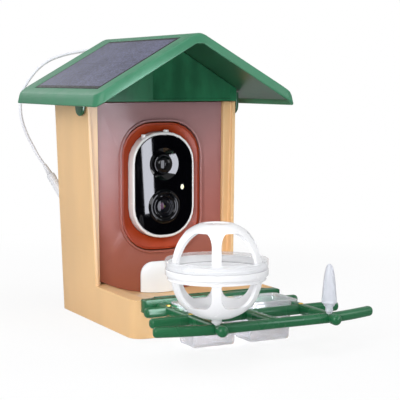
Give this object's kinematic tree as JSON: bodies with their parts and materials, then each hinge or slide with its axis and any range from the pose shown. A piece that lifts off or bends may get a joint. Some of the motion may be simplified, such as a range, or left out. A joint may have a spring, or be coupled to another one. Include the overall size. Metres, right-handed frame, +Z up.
{
  "type": "smart bird feeder",
  "caption": "Tapered hopper bird feeder with a hinged solar roof, pull-out camera, sliding gate, lift-off perch ladder, seed cups, fruit ball and spike.",
  "frame": {"origin": "centre of the flat base, on its underside", "axes": "+Z up, -Y out of the front where the camera looks, +X to the viewer's right when facing the front"},
  "size_m": [0.1902, 0.3761, 0.2485],
  "materials": {
    "amber": "satin",
    "pocket": "satin",
    "smoke": "clear, gloss",
    "white": "gloss",
    "black": "gloss",
    "lens": "polished",
    "frost": "frosted",
    "roof": "satin",
    "liner": "satin",
    "solar": "gloss",
    "perch": "satin",
    "brass": "satin",
    "steel": "satin",
    "clear": "clear, gloss",
    "cord": "satin",
    "rubber": "matte"
  },
  "bodies": {
    "housing": {"housing": "amber", "base_plate": "amber", "camera_pocket": "pocket", "front_window": "smoke", "wall_pad": "amber", "charge_port": "rubber", "hinge_pin_left": "steel", "hinge_pin_right": "steel", "solar_cable": "cord", "cable_plug": "cord", "cable_relief": "cord", "base_screw_1": "steel", "base_screw_2": "steel", "base_screw_3": "steel", "base_screw_4": "steel", "pocket_screw_1": "steel", "pocket_screw_2": "steel", "pocket_screw_3": "steel", "pocket_screw_4": "steel"},
    "roof": {"roof_shell": "roof", "solar_panel": "solar", "roof_liner": "liner", "gable_collar": "liner", "hinge_leaf": "liner", "roof_tab_left": "roof", "roof_tab_right": "roof", "cable_outlet": "rubber"},
    "camera": {"camera_shell": "white", "camera_face": "black", "sensor_dome": "black", "lens_bezel": "black", "lens_barrel": "lens", "lens_glass": "lens", "status_light": "frost"},
    "button_a": {"button_left": "white"},
    "button_b": {"button_right": "white"},
    "gate": {"feed_gate": "white"},
    "perch": {"perch_clamp": "perch", "perch_frame": "perch", "perch_pin_1": "brass", "perch_pin_2": "brass", "perch_pin_3": "brass", "perch_pin_4": "brass"},
    "cup_a": {"cup_left": "clear"},
    "cup_b": {"cup_right": "clear"},
    "fruit_ball": {"ball_lower": "white", "ball_ring": "frost"},
    "fruit_ball_cap": {"ball_upper": "white"},
    "spike": {"fruit_spike": "frost"}
  },
  "joints": [
    {"name": "roof_hinge", "type": "hinge", "parent": "housing", "child": "roof", "pos_m": [0, 0.0896, 0.184], "axis": [-1, 0, 0], "range_deg": [0, 75], "deforming": ["solar_cable"]},
    {"name": "camera_slide", "type": "slide", "parent": "housing", "child": "camera", "axis": [0, -1, 0], "range_m": [0, 0.06]},
    {"name": "button_left_press", "type": "slide", "parent": "camera", "child": "button_a", "axis": [0, 0, -1], "range_m": [0, 0.0008], "stiffness_N_per_m": 300, "springref_m": -0.0008},
    {"name": "button_right_press", "type": "slide", "parent": "camera", "child": "button_b", "axis": [0, 0, -1], "range_m": [0, 0.0008], "stiffness_N_per_m": 300, "springref_m": -0.0008},
    {"name": "gate_slide", "type": "slide", "parent": "housing", "child": "gate", "axis": [0, 0, 1], "range_m": [0, 0.0075]},
    {"name": "perch_lift", "type": "slide", "parent": "housing", "child": "perch", "axis": [0, 0, 1], "range_m": [0, 0.03]},
    {"name": "cup_left_lift", "type": "slide", "parent": "perch", "child": "cup_a", "axis": [0, 0, 1], "range_m": [0, 0.045]},
    {"name": "cup_right_lift", "type": "slide", "parent": "perch", "child": "cup_b", "axis": [0, 0, 1], "range_m": [0, 0.045]},
    {"name": "ball_lift", "type": "slide", "parent": "perch", "child": "fruit_ball", "axis": [0, 0, 1], "range_m": [0, 0.03]},
    {"name": "ball_cap_lift", "type": "slide", "parent": "fruit_ball", "child": "fruit_ball_cap", "axis": [0, 0, 1], "range_m": [0, 0.05]},
    {"name": "spike_lift", "type": "slide", "parent": "perch", "child": "spike", "axis": [0, 0, 1], "range_m": [0, 0.02]}
  ]
}
